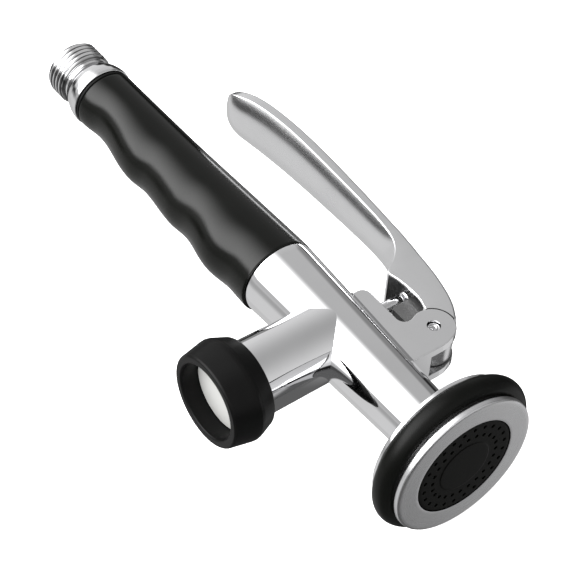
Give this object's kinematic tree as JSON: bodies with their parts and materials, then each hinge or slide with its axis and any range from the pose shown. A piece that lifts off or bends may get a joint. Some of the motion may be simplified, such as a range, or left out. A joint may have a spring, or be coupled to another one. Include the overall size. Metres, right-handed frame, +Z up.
{
  "type": "handheld bath sprayer",
  "caption": "Handheld bath sprayer: chrome tee valve body with a squeeze lever, black grip, flat round spray head and a threaded hose end.",
  "frame": {"origin": "bottom centre of the sprayer's box, lying on its side", "axes": "+X along the barrel from the hose end to the spray face, +Y from the barrel to the lever, +Z up, across the flat sides of the lever bracket"},
  "size_m": [0.2204, 0.0948, 0.059],
  "materials": {
    "body_chrome": "mirror chrome plate",
    "nipple_chrome": "mirror chrome plate on turned brass",
    "flange_chrome": "mirror chrome plate",
    "lever_satin_chrome": "satin chrome plate",
    "face_satin_chrome": "satin chrome, fine turned grain",
    "plug_satin": "pale grey moulded nylon",
    "grip_plastic": "satin moulded plastic",
    "insert_plastic": "satin moulded plastic",
    "white_plastic": "moulded acetal",
    "bumper_rubber": "matte rubber",
    "ring_rubber": "matte rubber",
    "grip_seal_rubber": "matte rubber",
    "seal_rubber": "matte rubber",
    "tube_brass": "drawn brass",
    "valve_brass": "turned brass",
    "filter_steel": "perforated stainless steel",
    "spindle_steel": "polished stainless steel",
    "spring_steel": "stainless spring wire",
    "pin_steel": "ground stainless steel"
  },
  "bodies": {
    "root": {"valve_body": "body_chrome", "inlet_nipple": "nipple_chrome", "grip_seal_ring": "grip_seal_rubber", "water_tube": "tube_brass", "tube_seal_rear": "seal_rubber", "tube_seal_front": "seal_rubber", "inlet_filter": "filter_steel", "hand_grip": "grip_plastic", "valve_seat": "valve_brass", "stem_o_ring_upper": "seal_rubber", "stem_o_ring_lower": "seal_rubber", "valve_spring": "spring_steel", "end_plug": "plug_satin", "plug_seal": "seal_rubber", "stub_bumper": "bumper_rubber", "lever_pin": "pin_steel", "head_flange": "flange_chrome", "hub_seal": "seal_rubber", "flow_restrictor": "white_plastic", "diffuser": "white_plastic", "head_gasket": "seal_rubber", "nozzle_insert": "insert_plastic", "face_plate": "face_satin_chrome", "head_bumper_ring": "ring_rubber"},
    "lever": {"lever": "lever_satin_chrome"},
    "stem": {"spindle": "spindle_steel", "valve_washer": "seal_rubber", "washer_holder": "valve_brass", "spindle_nut": "valve_brass"}
  },
  "joints": [
    {"name": "lever_squeeze", "type": "hinge", "parent": "root", "child": "lever", "pos_m": [0.06443, 0.02815, 0.0296], "axis": [0, 0, 1], "range_deg": [0, 8.5], "stiffness_Nm_per_rad": 2, "springref_deg": -14.32},
    {"name": "stem_push", "type": "slide", "parent": "root", "child": "stem", "axis": [0, -1, 0], "range_m": [0, 0.00294], "deforming": ["valve_spring"]}
  ],
  "couplings": [
    {"joint": "stem_push", "follows": "lever_squeeze", "m_per_rad": 0.0195}
  ]
}
